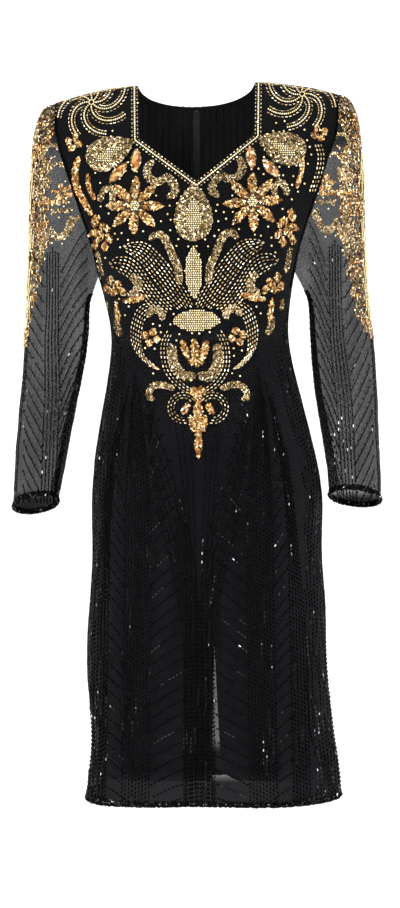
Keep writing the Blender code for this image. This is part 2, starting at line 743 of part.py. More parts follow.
def build():
    for old in list(bpy.data.objects):
        bpy.data.objects.remove(old)
    front = make_front(finish("beaded black silk, front", (0.012, 0.012, 0.014), 0.6, sheen=0.2))
    back_silk = finish("beaded black silk, back", (0.012, 0.012, 0.014), 0.6, sheen=0.2)
    make_back("back_left", -1, back_silk)
    make_back("back_right", 1, back_silk)
    sheer = finish("sheer black silk", (0.03, 0.03, 0.034), 0.65, sheen=0.3)
    lining = finish("black lining", (0.014, 0.014, 0.016), 0.45)
    roll = finish("black bead edging", (0.02, 0.02, 0.022), 0.3)
    beads = {
        "pearl": finish("cream pearl", (0.80, 0.68, 0.42), 0.3),
        "gold": finish("antique gold beads", (0.42, 0.31, 0.14), 0.3, metallic=0.8),
        "amber": finish("amber stones", (0.45, 0.19, 0.06), 0.12),
    }
    for side in ("left", "right"):
        make_sleeve_relief(side, make_sleeve(side, sheer), beads["pearl"])
        make_roll("cuff_roll_" + side, cuff_path(side), roll, worn_sleeve)
    for side in ("front", "back"):
        make_lining(side, lining)
    make_roll("hem_roll", hem_path(), roll, worn_body)
    make_front_relief(front, beads)
    make_zip(back_silk, finish("black enamelled metal", (0.02, 0.02, 0.02), 0.3, metallic=0.7))


build()
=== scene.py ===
"""A beaded evening dress: sheer black silk on a black lining, hung as it is worn. Metres, front to -Y."""

import random
from math import cos, hypot, pi, radians, sin, sqrt

import bpy
import numpy as np
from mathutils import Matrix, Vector
from mathutils.bvhtree import BVHTree


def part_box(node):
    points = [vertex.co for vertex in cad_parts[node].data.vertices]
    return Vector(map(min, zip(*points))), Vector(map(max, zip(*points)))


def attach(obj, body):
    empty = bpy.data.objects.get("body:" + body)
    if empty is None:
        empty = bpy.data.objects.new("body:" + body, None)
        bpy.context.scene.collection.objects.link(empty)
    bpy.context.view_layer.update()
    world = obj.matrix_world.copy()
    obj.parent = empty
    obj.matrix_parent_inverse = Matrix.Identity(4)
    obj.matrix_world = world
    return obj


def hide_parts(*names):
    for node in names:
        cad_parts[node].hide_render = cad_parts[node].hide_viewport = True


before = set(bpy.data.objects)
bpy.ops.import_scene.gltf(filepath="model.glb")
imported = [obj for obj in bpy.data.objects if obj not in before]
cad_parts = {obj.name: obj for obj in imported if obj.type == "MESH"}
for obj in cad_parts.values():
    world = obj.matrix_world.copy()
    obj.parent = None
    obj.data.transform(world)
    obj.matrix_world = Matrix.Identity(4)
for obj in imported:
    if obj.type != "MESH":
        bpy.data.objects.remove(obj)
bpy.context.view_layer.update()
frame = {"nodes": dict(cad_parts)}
nodes, scene = frame["nodes"], bpy.context.scene

# The room. A pale floor that sweeps up behind the dress, a large soft light on either side in front, one
# above, and a camera at chest height 3.6 m away, level with how the photograph was taken.
EYE, AIM = Vector((0.005, -3.6, -0.35)), Vector((0.005, 0.0, -0.536))
FOCAL = 2503 / 908  # focal length over the frame's height


class Value:
    """A socket of a shader, so that sums of sockets and numbers are written as sums."""

    def __init__(self, socket):
        self.socket = socket

    def joined(self, kind, *others):
        node = self.socket.node.id_data.nodes.new("ShaderNodeMath")
        node.operation = kind
        for slot, other in zip(node.inputs, others):
            feed(slot, other)
        return Value(node.outputs[0])

    def __add__(self, other):
        return self.joined("ADD", self, other)

    def __sub__(self, other):
        return self.joined("SUBTRACT", self, other)

    def __rsub__(self, other):
        return self.joined("SUBTRACT", other, self)

    def __mul__(self, other):
        return self.joined("MULTIPLY", self, other)


def feed(slot, value):
    """Links a value to a socket, or sets it there."""
    if isinstance(value, Value):
        slot.node.id_data.links.new(value.socket, slot)
    else:
        slot.default_value = value


class Finish:
    """A material and its nodes."""

    def __init__(self, name, **fixed):
        self.material = bpy.data.materials.new(name)
        self.material.use_nodes = True
        self.shader = self.material.node_tree.nodes["Principled BSDF"]
        for socket, value in fixed.items():
            self.set(socket, value)

    def set(self, socket, value):
        feed(self.shader.inputs[socket.replace("_", " ")], value)

    def node(self, kind, settings=(), stops=(), output=0, **inputs):
        node = self.material.node_tree.nodes.new("ShaderNode" + kind)
        for name, value in dict(settings).items():
            setattr(node, name, value)
        if stops:
            while len(node.color_ramp.elements) < len(stops):
                node.color_ramp.elements.new(1.0)
            for element, (place, colour) in zip(node.color_ramp.elements, stops):
                element.position, element.color = place, (*colour, 1)
        for name, value in inputs.items():
            feed(node.inputs[name.replace("_", " ")], value)
        return Value(node.outputs[output])

    def place(self):
        return self.node("TexCoord", output=3)

    def noise(self, scale, detail=2.0, stretch=None):
        where = self.place()
        if stretch:
            where = self.node("Mapping", Vector=where, Scale=stretch)
        return self.node("TexNoise", Vector=where, Scale=scale, Detail=detail)

    def coordinate(self, axis):
        return self.node("SeparateXYZ", output="XYZ".index(axis), Vector=self.place())

    def between(self, value, start, full, at_start=0.0, at_full=1.0):
        """A number that changes evenly while the value goes from start to full."""
        return self.node("MapRange", {"clamp": True}, Value=value, From_Min=start, From_Max=full,
                         To_Min=at_start, To_Max=at_full)

    def coloured(self, tone, stops):
        self.set("Base Color", self.node("ValToRGB", Fac=tone, stops=stops))

    def bump(self, height, distance, strength=1.0):
        self.set("Normal", self.node("Bump", Height=height, Distance=distance, Strength=strength))


def chosen(piece, test):
    """In edit mode, selects only the edges for whose two ends the test holds."""
    bpy.ops.mesh.select_mode(type="EDGE")
    bpy.ops.mesh.select_all(action="DESELECT")
    bpy.ops.object.mode_set(mode="OBJECT")
    for edge in piece.data.edges:
        edge.select = all(test(piece.data.vertices[v].co) for v in edge.vertices)
    bpy.ops.object.mode_set(mode="EDIT")


bpy.ops.mesh.primitive_plane_add(size=1, location=(0, 1.8, -1.46))
floor = bpy.context.object
floor.name = "floor"
floor.scale = (16, 11, 1)
bpy.ops.object.transform_apply(location=True, scale=True)
far = max(vertex.co.y for vertex in floor.data.vertices) - 0.1
bpy.ops.object.mode_set(mode="EDIT")
chosen(floor, lambda end: end.y > far)
bpy.ops.mesh.extrude_region_move(TRANSFORM_OT_translate={"value": (0, 0, 6)})
chosen(floor, lambda end: end.y > far and end.z < -1)
bpy.ops.mesh.bevel(offset=1.6, segments=14)
bpy.ops.object.mode_set(mode="OBJECT")
bpy.ops.object.shade_smooth()
paper = Finish("white paper", Base_Color=(0.9, 0.9, 0.9, 1), Roughness=0.9, Emission_Color=(1, 1, 1, 1),
               Emission_Strength=0.62)
floor.data.materials.append(paper.material)

for name, place, aim, wide, tall, power in (
    ("light_left", (-1.7, -2.6, 1.0), (0, 0, -0.35), 0.8, 0.8, 84),
    ("light_right", (1.9, -2.4, 0.5), (0, 0, -0.45), 0.6, 0.6, 52),
    ("light_top", (0.0, -0.3, 1.9), (0, 0, -0.2), 1.2, 1.2, 22),
    ("strip_left", (-2.85, -0.95, -0.5), (0, 0, -0.55), 0.16, 2.8, 60),
    ("strip_right", (3.0, -0.35, -0.5), (0, 0, -0.55), 0.16, 2.8, 60),
):
    lamp = bpy.data.lights.new(name, "AREA")
    lamp.shape, lamp.size, lamp.size_y, lamp.energy = "RECTANGLE", wide, tall, power
    light = bpy.data.objects.new(name, lamp)
    light.location = place
    light.rotation_euler = (Vector(aim) - Vector(place)).to_track_quat("-Z", "Y").to_euler()
    scene.collection.objects.link(light)

world = bpy.data.worlds.new("room")
world.use_nodes = True
sky = world.node_tree.nodes["Background"].inputs
sky["Color"].default_value, sky["Strength"].default_value = (1, 1, 1, 1), 0.22
scene.world = world
scene.view_settings.view_transform = "Standard"

lens = bpy.data.cameras.new("camera")
lens.sensor_fit = "VERTICAL"
lens.sensor_height = 24.0
lens.lens = FOCAL * lens.sensor_height
camera = bpy.data.objects.new("camera", lens)
camera.location = EYE
camera.rotation_euler = (AIM - EYE).to_track_quat("-Z", "Y").to_euler()
scene.collection.objects.link(camera)
scene.camera = camera


# The outer cloth. Crinkled black silk chiffon, close enough over the chest to look black and sheer enough
# below it that the lining shows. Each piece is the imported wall, merged and rounded, then creased a little.
def silk(name, see_through, colour, closer, painted_shade_heights=None):
    """Crinkled chiffon. see_through is the share of light that one face of its wall lets past; closer lists
    where beads or a second layer close it up: an axis, where that starts, where it is full, and how far.
    The last argument, if given, lists the heights between which the colour deepens: painted shade that
    darkens the cloth above them."""
    finish = Finish(name, Roughness=0.85, Sheen_Weight=0.025, Sheen_Roughness=0.5, Specular_IOR_Level=0.05)
    crinkle = finish.noise(300, 2, (1, 1, 0.3))
    drape_and_painted_shade = finish.noise(38, 1, (1, 1, 0.12))
    weave = finish.node("TexWave", {"bands_direction": "Z"}, Vector=finish.place(), Scale=520,
                        Distortion=1.5)
    # The tone mixes the crinkle's grain with painted shade along long vertical folds. The same fold noise
    # also varies how sheer the silk is.
    tone = crinkle * 0.4 + drape_and_painted_shade * 0.6
    # painted shade: above these heights the silk's colour is darkened
    if painted_shade_heights:
        tone = tone * finish.between(finish.coordinate("Z"), *painted_shade_heights, 1.0, 0.2)
    deep, dark, light = ([c * share for c in colour] for share in (0.25, 0.7, 1.3))
    finish.coloured(tone, [(0.0, deep), (0.3, dark), (0.75, light)])
    gaps = see_through - (crinkle - 0.5) * 0.1 - (drape_and_painted_shade - 0.5) * 0.3
    for axis, start, full, share in closer:
        place = finish.coordinate(axis)
        if axis == "X":
            place = place.joined("ABSOLUTE", place)
        gaps = gaps * finish.between(place, start, full, 1.0, 1 - share)
    finish.set("Alpha", 1 - gaps)
    finish.bump(crinkle * 0.8 + weave * 0.2, 0.0008, 0.7)
    return finish.material


CREASE = bpy.data.textures.new("creases", "CLOUDS")
CREASE.cloud_type, CREASE.noise_scale, CREASE.noise_depth = "COLOR", 0.055, 1


def pushed_out(piece, folds):
    """Raises soft ridges on a wall's front or back. Each fold: -1 for the front or 1 for the back, and in
    millimetres the places (x, z) of its two ends, how wide it is and how high."""
    mesh = piece.data
    points = np.empty(len(mesh.vertices) * 3)
    mesh.vertices.foreach_get("co", points)
    points = points.reshape(-1, 3)
    middle, half = np.zeros(len(points)), np.full(len(points), 0.09)
    if piece.name.startswith("sleeve"):  # a sleeve leans: its middle is found again every two centimetres
        steps = np.round(points[:, 2] / 0.02).astype(int)
        for step in set(steps):
            here = steps == step
            low, high = points[here, 1].min(), points[here, 1].max()
            middle[here], half[here] = (low + high) / 2, max(0.004, (high - low) / 2)
    side = np.clip((points[:, 1] - middle) / half, -1, 1)
    for facing, *measures in folds:
        x0, z0, x1, z1, width, height = (measure / 1000 for measure in measures)
        start, run = np.array([x0, z0]), np.array([x1 - x0, z1 - z0])
        t = np.clip((points[:, [0, 2]] - start) @ run / (run @ run), 0, 1)
        off = np.hypot(*(points[:, [0, 2]] - start - t[:, None] * run).T)
        rise = height * np.exp(-(off / width) ** 2) * (4 * t * (1 - t)) ** 0.7
        points[:, 1] += facing * rise * np.clip(1.6 * facing * side, 0, 1)
    mesh.vertices.foreach_set("co", points.ravel())
    mesh.update()


def tailored(node, name, creased, levels=2, folds=()):
    """A copy of a packed cloth wall, its quads restored, rounded, folded softly where its table says, and
    crumpled by so many metres all over."""
    piece = bpy.data.objects.new(name, nodes[node].data.copy())
    scene.collection.objects.link(piece)
    piece.data.materials.clear()
    bpy.ops.object.select_all(action="DESELECT")
    piece.select_set(True)
    bpy.context.view_layer.objects.active = piece
    bpy.ops.mesh.customdata_custom_splitnormals_clear()
    bpy.ops.object.mode_set(mode="EDIT")
    bpy.ops.mesh.select_all(action="SELECT")
    bpy.ops.mesh.remove_doubles(threshold=2e-5)
    bpy.ops.mesh.tris_convert_to_quads(face_threshold=0.8, shape_threshold=0.9)
    bpy.ops.mesh.select_all(action="DESELECT")
    bpy.ops.mesh.select_mode(type="EDGE")
    bpy.ops.mesh.edges_select_sharp(sharpness=radians(55))
    bpy.ops.transform.edge_crease(value=0.9)
    bpy.ops.object.mode_set(mode="OBJECT")
    rounding = piece.modifiers.new("rounding", "SUBSURF")
    rounding.levels = rounding.render_levels = levels
    bpy.ops.object.modifier_apply(modifier="rounding")
    pushed_out(piece, folds)
    if creased:
        crease = piece.modifiers.new("crease", "DISPLACE")
        crease.texture, crease.direction, crease.texture_coords = CREASE, "RGB_TO_XYZ", "LOCAL"
        crease.strength, crease.mid_level = creased, 0.5
        bpy.ops.object.modifier_apply(modifier="crease")
    bpy.ops.object.shade_smooth_by_angle(angle=radians(50))
    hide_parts(node)
    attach(piece, "dress")
    return piece


SKIRT_BLACK = (0.0064, 0.0063, 0.0076)
# its colour is darkened over the bodice, above the chest, as painted shade
body_silk = silk("body silk", 0.6, SKIRT_BLACK, (
    ("Z", -0.42, -0.34, 0.9), ("Z", -0.972, -0.99, 0.86), ("X", 0.1, 0.135, 0.62)), (-0.42, -0.34))
FOLDS = (
    (-1, -128, -330, -98, -366, 8, 2.5), (-1, 132, -338, 100, -378, 8, 2.5),
    (-1, -138, -395, -168, -640, 12, 4.5), (-1, 150, -440, 176, -700, 13, 4.5),
    (-1, -118, -660, -146, -960, 14, 4.5), (-1, 128, -640, 158, -975, 15, 5),
    (-1, -72, -770, -88, -990, 12, 3.5), (-1, 84, -820, 78, -985, 13, 3.5),
    (-1, -30, -560, -34, -760, 11, 2.5), (-1, 56, -520, 64, -690, 11, 2.5),
    (1, -52, -290, -96, -345, 9, 3.5), (1, 60, -300, 100, -360, 9, 3), (1, -40, -350, -84, -385, 8, 2.5),
    (1, 92, -140, 70, -230, 10, 2.5), (1, -90, -540, -112, -930, 14, 4.5), (1, 104, -600, 122, -960, 14, 4),
    (1, -34, -700, -40, -985, 12, 3.5), (1, 48, -760, 52, -980, 12, 3.5), (1, -146, -470, -166, -800, 12, 4),
    (1, 152, -500, 176, -860, 13, 4.5),
)
BODY_CREASE, SLEEVE_CREASE = 0.0016, 0.0024
front, back_left, back_right = (tailored(node, node + "_cloth", BODY_CREASE, folds=FOLDS)
                                for node in ("front", "back_left", "back_right"))
for piece, flat, area in (
    (front, (0.56, 1.08), 0.43), (back_left, (0.29, 1.05), 0.22), (back_right, (0.29, 1.05), 0.23),
):
    piece.data.materials.append(body_silk)

# The lining. Smooth black acetate, sewn in at the waist, three centimetres short of the hem, with a slit up
# the front and a vent up the back.
satin = Finish("lining satin", Base_Color=(0.005, 0.005, 0.006, 1), Roughness=0.7, Specular_IOR_Level=0.06)
satin.bump(satin.noise(90, 2, (1, 1, 0.2)), 0.0004, 0.4)
for node, area in (("lining_front", 0.26), ("lining_back", 0.27)):
    piece = tailored(node, node + "_cloth", BODY_CREASE, 1)
    piece.data.materials.append(satin.material)

# The sleeves. The same silk in one layer with nothing under it, so the light comes through them grey.
sleeve_silk = silk("sleeve silk", 0.5, (0.017, 0.017, 0.02), (
    ("Z", -0.105, -0.07, 0.85), ("Z", -0.588, -0.6, 0.8)))
SLEEVE_FOLDS = (  # as on the left sleeve; the right one has them a little higher and softer
    (-1, -152, -232, -190, -262, 8, 3), (-1, -158, -296, -208, -330, 8, 4),
    (-1, -162, -336, -214, -352, 7, 3.5), (-1, -164, -372, -200, -404, 7, 3),
    (-1, -176, -420, -214, -586, 6, 3), (-1, -243, -420, -252, -540, 8, 2.5),
    (1, -160, -250, -206, -290, 9, 3.5), (1, -170, -330, -226, -366, 9, 4),
    (1, -182, -400, -232, -424, 8, 3), (1, -200, -450, -222, -570, 8, 3),
)
sleeves = {}
for side in ("left", "right"):
    folds = SLEEVE_FOLDS if side == "left" else [
        (facing, -x0, z0 + 12, -x1, z1 + 12, width, 0.85 * height)
        for facing, x0, z0, x1, z1, width, height in SLEEVE_FOLDS]
    piece = sleeves[side] = tailored("sleeve_" + side, "sleeve_%s_cloth" % side, SLEEVE_CREASE, folds=folds)
    piece.data.materials.append(sleeve_silk)

# The rolled edges of hem and cuffs: the silk is turned twice over a cord of small black beads.
edging = Finish("beaded edge", Base_Color=(0.003, 0.003, 0.0035, 1), Roughness=0.6, Specular_IOR_Level=0.05)
edging.bump(edging.node("TexVoronoi", Vector=edging.place(), Scale=420), 0.0012, 1.0)
rolls = {}
for node, creased in (
    ("hem_roll", BODY_CREASE), ("cuff_roll_left", SLEEVE_CREASE), ("cuff_roll_right", SLEEVE_CREASE),
):
    piece = rolls[node] = tailored(node, node + "_edge", creased, 1)
    piece.data.materials.append(edging.material)

# The raised motifs. Felt cores under the beadwork of the drops, flowers, leaf and oval, and four faceted
# amber glass stones at the neck.
core_gold = Finish("core under gold", Base_Color=(0.022, 0.015, 0.007, 1), Roughness=0.8)
core_gold.bump(core_gold.noise(900), 0.0006)
core_cream = Finish("core under pearls", Base_Color=(0.045, 0.028, 0.01, 1), Roughness=0.8)
core_cream.bump(core_cream.noise(900), 0.0006)
amber = Finish("amber glass", Roughness=0.08, Coat_Weight=1.0, Coat_Roughness=0.05)
# Each facet takes its own tone: orange-brown amber in the middle of the ramp, painted shade at its dark end
# and painted highlights at its near-white end.
painted_facet_light = amber.node("TexVoronoi", {"feature": "F1"}, Vector=amber.place(), Scale=210, output=1)
amber.coloured(amber.node("SeparateColor", Color=painted_facet_light), [
    (0, (0.07, 0.02, 0.004)), (0.45, (0.36, 0.13, 0.025)), (0.8, (0.66, 0.36, 0.1)), (1, (1, 0.85, 0.6))])
amber.bump(amber.node("TexVoronoi", Vector=amber.place(), Scale=210), 0.0012)


def repainted(finish, *starts):
    """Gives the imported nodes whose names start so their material."""
    for name, node in nodes.items():
        if name.startswith(starts):
            node.data.materials.clear()
            node.data.materials.append(finish.material)


repainted(core_gold, "drop", "star")
repainted(core_cream, "marquise", "oval", "pearls")
repainted(amber, "stone")


# The pattern of the front. It is drawn on squared paper, one square to 1.44 mm: u counts from its middle
# line to the viewer's right, v down from 82 at the neck. It hangs a little askew, as the shoulders do.
SQUARE, NECK_V = 0.00144, 82
MIDDLE = np.array([(80, 0.5), (145, 0.0), (190, -3.0), (340, -2.2), (395, 1.5), (480, 2.2), (820, 3.0)])
ASKEW = np.array([(80, 0.038), (150, 0.038), (205, 0.034), (283, 0.016), (400, 0.0)])


class Ground:
    """The outer face of some pieces, for what is sewn on them."""

    def __init__(self, *pieces):
        corners, faces = [], []
        for piece in pieces:
            first = len(corners)
            corners += [vertex.co.copy() for vertex in piece.data.vertices]
            faces += [[first + v for v in face.vertices] for face in piece.data.polygons]
        self.tree = BVHTree.FromPolygons(corners, faces)

    def under(self, start, way):
        """What lies in the way from a place: where, and the way out of the cloth there."""
        place, normal = self.tree.ray_cast(start, way)[:2]
        if place is None:
            return None
        return place, normal if normal.dot(way) < 0 else -normal

    def seen(self, spot):
        """What the camera sees in the direction of a place."""
        return self.under(EYE, (spot - EYE).normalized())

    def behind(self, x, z, start=3.0):
        """The same for an eye at the back, level with the place."""
        return self.under(Vector((x, start, z)), Vector((0, -1, 0)))


raised = [node for name, node in nodes.items()
          if name.startswith(("drop", "star", "marquise", "oval"))]
bodice = Ground(front, *raised)
skirt = Ground(front)
back = Ground(back_left, back_right)


def target(u, v):
    """The place at the middle of the dress that a point of the pattern covers, seen from the camera."""
    u += np.interp(v, MIDDLE[:, 0], MIDDLE[:, 1])
    x = u * SQUARE
    return Vector((x, 0.0, (NECK_V - v) * SQUARE + np.interp(v, ASKEW[:, 0], ASKEW[:, 1]) * x))


def curve(points, step, shift=0.0):
    """Points every so many squares along a smooth line through the given points, with its direction."""
    points = np.array(points, float)
    doubled = np.vstack([2 * points[0] - points[1], points, 2 * points[-1] - points[-2]])
    line = []
    for a, b, c, d in zip(doubled, doubled[1:], doubled[2:], doubled[3:]):
        for t in np.linspace(0, 1, 12, endpoint=False):
            line.append(0.5 * (2 * b + (c - a) * t + (2 * a - 5 * b + 4 * c - d) * t**2
                               + (3 * b - a - 3 * c + d) * t**3))
    line = np.array([*line, points[-1]])
    length = np.concatenate([[0], np.cumsum(np.hypot(*np.diff(line, axis=0).T))])
    at = np.arange(step * (0.5 + shift), length[-1], step)
    behind, here, ahead = (np.column_stack([np.interp(at + apart, length, line[:, i]) for i in (0, 1)])
                           for apart in (-0.2, 0, 0.2))
    way = ahead - behind
    return here, way / np.hypot(*way.T)[:, None]


def mirrored(marks):
    return marks + [(-u, v, -du, dv) for u, v, du, dv in marks]


def along(points, step, offset=0.0, shift=0.0):
    """Marks (u, v and their direction) every step along a line."""
    here, way = curve(points, step, shift)
    here = here + offset * np.column_stack([-way[:, 1], way[:, 0]])
    return [(*p, *w) for p, w in zip(here.tolist(), way.tolist())]


dice = random.Random(7)


def band(points, width, pitch=1.3):
    """Marks scattered closely over a ribbon along a line; the ribbon's ends are round."""
    here, way = curve(points, pitch)
    marks = []
    for i, ((u, v), (du, dv)) in enumerate(zip(here, way)):
        t = (i + 0.5) / len(here)
        half = width / 2 * min(1.0, sqrt(max(0.05, 1 - (2 * t - 1) ** 8)))
        rows = max(1, round(2 * half / pitch))
        for k in range(rows):
            off = (k + 0.5) / rows * 2 * half - half + dice.uniform(-0.3, 0.3)
            slide = dice.uniform(-0.3, 0.3)
            turn = dice.uniform(0, pi)
            marks.append((u - dv * off + du * slide, v + du * off + dv * slide, cos(turn), sin(turn)))
    return marks


def blob(u, v, wide, tall, slant=0.0, pitch=1.5, sharp=1.0):
    """Marks scattered over an oval, which is pointed at its ends where sharp is above 1."""
    marks = []
    c, s = cos(radians(slant)), sin(radians(slant))
    for j in range(-int(tall / pitch) - 1, int(tall / pitch) + 2):
        for i in range(-int(wide / pitch) - 1, int(wide / pitch) + 2):
            a = (i + (0.5 if j % 2 else 0.0)) * pitch + dice.uniform(-0.3, 0.3)
            b = j * pitch * 0.9 + dice.uniform(-0.3, 0.3)
            if abs(b) <= tall and abs(a) <= wide * max(0.0, 1 - (b / tall) ** 2) ** (0.5 * sharp):
                turn = dice.uniform(0, pi)
                marks.append((u + a * c - b * s, v + a * s + b * c, cos(turn), sin(turn)))
    return marks


def bands(*ribbons):
    return [mark for points, width in ribbons for mark in band(points, width)]


# Beads. Round glass pearls and seed beads, and cut tubes called bugles. One of each is made and copied; each
# copy keeps its own tone, partly because glass beads of one colour never match and partly as painted sparkle
# and painted shade.
def bead_shape(kind):
    if kind == "round":
        bpy.ops.mesh.primitive_ico_sphere_add(subdivisions=1, radius=1.0)
    else:
        bpy.ops.mesh.primitive_cylinder_add(vertices=5, radius=1.0, depth=2.0)
        bpy.ops.object.mode_set(mode="EDIT")
        bpy.ops.mesh.select_all(action="SELECT")
        bpy.ops.mesh.quads_convert_to_tris()
        bpy.ops.object.mode_set(mode="OBJECT")
    sample = bpy.context.object
    corners = np.array([vertex.co for vertex in sample.data.vertices])
    faces = np.array([face.vertices for face in sample.data.polygons])
    bpy.data.objects.remove(sample)
    return corners, faces


BEADS = {kind: bead_shape(kind) for kind in ("round", "bugle")}


def sewn(name, kind, laid, finish, faceted=True):
    """One piece of many beads. Each row of laid is a place, the way it lies, the way out, its two half sizes
    and its tone. Each bead is rolled about its own length as it happened to be sewn."""
    corners, faces = BEADS[kind]
    laid = np.array([[*p, *w, *n, *rest, dice.uniform(0, pi)] for p, w, n, *rest in laid])
    place, way, out = laid[:, 0:3], laid[:, 3:6], laid[:, 6:9]
    way = way - out * (way * out).sum(1)[:, None]
    way /= np.maximum(np.linalg.norm(way, axis=1), 1e-9)[:, None]
    side = np.cross(out, way)
    c, s = np.cos(laid[:, 12])[:, None], np.sin(laid[:, 12])[:, None]
    side, out = side * c + out * s, out * c - side * s
    radius, length = laid[:, 9][:, None, None], laid[:, 10][:, None, None]
    shaped = (corners[None, :, 0, None] * side[:, None] + corners[None, :, 1, None] * out[:, None]) * radius
    shaped = shaped + corners[None, :, 2, None] * way[:, None] * length + place[:, None]
    mesh = bpy.data.meshes.new(name)
    numbered = faces[None] + (np.arange(len(laid)) * len(corners))[:, None, None]
    mesh.from_pydata(shaped.reshape(-1, 3), [], numbered.reshape(-1, faces.shape[1]))
    tone = mesh.attributes.new("tone", "FLOAT", "POINT")
    tone.data.foreach_set("value", np.repeat(laid[:, 11], len(corners)).astype(np.float32))
    if not faceted:
        mesh.shade_smooth()
    piece = bpy.data.objects.new(name, mesh)
    scene.collection.objects.link(piece)
    mesh.materials.append(finish)
    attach(piece, "dress")


UP = Vector((0, 0, 1))


def lay(laid, here, way, radius, length, lift=0.0005):
    """Where there is cloth, adds a bead that lies on it, its middle so far out."""
    if here:
        place, out = here
        laid.append((place + out * lift, Vector(way), out, radius, length, dice.random()))


def settle(marks, radius, length, ground=bodice, lift=0.75, tones=(0.0, 1.0), spread=0.12):
    """Beads at the marks of the pattern: how each lies on the cloth, with its sizes a little uneven. Tones
    are the range they are drawn from, or one for each mark."""
    laid = []
    for i, (u, v, du, dv) in enumerate(marks):
        here = ground.seen(target(u, v))
        if not here:
            continue
        place, out = here
        way = Vector((du, 0.0, -dv))
        way -= out * way.dot(out)
        if way.length < 1e-6:
            continue
        size = 1 + dice.uniform(-spread, spread)
        laid.append((place + out * radius * lift, way.normalized(), out, radius * size, length * size,
                     tones[i] if len(tones) > 2 else dice.uniform(*tones)))
    return laid


def glass(name, stops, metallic=0.0, roughness=0.2, coat=0.0):
    """Bead glass in the colours of a ramp, by each bead's tone. The ramp's darkest colours are painted
    shade, and its brightest are painted sparkle.
    """
    finish = Finish(name, Metallic=metallic, Roughness=roughness, Coat_Weight=coat, Coat_Roughness=0.08)
    finish.coloured(finish.node("Attribute", {"attribute_name": "tone"}, output=2), stops)
    finish.bump(finish.noise(2200), 0.0002, 0.5)
    return finish.material


# The gold, copper and gold-lined ramps run from near black to near white, and the cream one runs up to near
# white. The beads' own colours lie between; the darkest tones are painted shade between beads, and the
# brightest are painted sparkle.
gold_glass = glass("antique gold glass", [
    (0.0, (0.03, 0.019, 0.007)), (0.4, (0.17, 0.11, 0.042)),
    (0.75, (0.42, 0.3, 0.14)), (1.0, (0.92, 0.78, 0.54)),
], 0.7, 0.22)
cream_glass = glass("cream pearl glass", [
    (0.0, (0.72, 0.52, 0.2)), (0.5, (0.98, 0.8, 0.44)), (1.0, (1.0, 0.95, 0.72)),
], 0.0, 0.2, 0.6)
copper_glass = glass("amber and copper glass", [
    (0.0, (0.05, 0.018, 0.004)), (0.45, (0.3, 0.13, 0.03)),
    (0.78, (0.7, 0.41, 0.12)), (1.0, (1.0, 0.92, 0.66)),
], 0.55, 0.15)
dash_glass = glass("silver-lined gold glass", [
    (0.0, (0.25, 0.15, 0.05)), (0.4, (0.68, 0.5, 0.24)), (1.0, (1.0, 0.9, 0.69)),
], 0.5, 0.2)
jet = Finish("black glass", Roughness=0.35, Specular_IOR_Level=0.015, Coat_Roughness=0.12)
tone = jet.node("Attribute", {"attribute_name": "tone"}, output=2)
jet.coloured(tone, [(0.0, (0.0008, 0.0008, 0.001)), (1.0, (0.003, 0.003, 0.003))])
jet.set("Coat Weight", jet.between(tone, 0.74, 0.8))
black_glass = jet.material

# Antique gold seed beads, sewn at random to fill the drops, the scrolls and the kidney shapes.
gold = mirrored(bands(
    ([(-42, 160), (-47, 168), (-45, 178), (-35, 182), (-27, 178), (-20.5, 184), (-18, 193), (-26, 198)], 8),
    ([(-44, 240), (-36, 234), (-28, 240), (-22, 254), (-16, 268), (-14, 284)], 7.5),
    ([(-93, 200), (-90, 190), (-83, 186), (-80, 194), (-82, 203)], 6.5),
    ([(-66, 296), (-57, 290), (-56, 280), (-63, 275)], 8),
    ([(-47, 316), (-40, 308), (-33, 312), (-31, 320)], 7),
    ([(-96, 250), (-94, 262), (-91, 274)], 5.5),
    ([(-77, 318), (-76, 328), (-72, 335)], 7),
    ([(-22, 344), (-23, 356), (-20, 368), (-11, 377), (-1, 374)], 10),
    ([(-23, 389), (-36, 385), (-45, 387), (-49, 396), (-43, 400)], 6.5),
))
SEED = (0.00085, 0.00125)  # a seed bead's radius and half its length
laid = settle(gold, *SEED)


def motif(name):
    """A raised motif: its face, the two corners of its box and the middle."""
    low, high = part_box(name)
    return Ground(nodes[name]), low, high, (low + high) / 2


RIM_BEADS, NUDGE = 44, 0.0005  # round a stone, whose rim is found in small steps
for name in sorted(name for name in nodes if name.startswith("stone")):
    stone, _, _, middle = motif(name)
    for i in range(RIM_BEADS):
        turn = 2 * pi * i / RIM_BEADS
        ray = Vector((cos(turn), 0, sin(turn)))
        reach = 0.0
        while reach < 0.03 and stone.seen(middle + ray * reach):
            reach += NUDGE
        lay(laid, skirt.seen(middle + ray * (reach + 0.0006)), (-ray.z, 0, ray.x), 0.00085, 0.0011, 0.0008)

HEARTS = {  # the share of each motif's width and height that its pearls cover, how far up, and their slant
    "drop_centre": (0.4, 0.56, -0.003, 0.0), "drop_left": (0.56, 0.34, 0.0, 0.36),
    "drop_right": (0.56, 0.34, 0.0, -0.36), "marquise_centre": (1, 1, 0, 0), "oval_centre": (1, 1, 0, 0),
}


def in_heart(name, dome, middle, spot):
    """Whether a place on a raised motif belongs to its pearls."""
    share_x, share_z, rise, slant = HEARTS[name]
    x = spot.x - middle.x
    far = middle + Vector((x / share_x, 0, (spot.z - middle.z - rise - slant * x) / share_z))
    return bool(dome.seen(far))


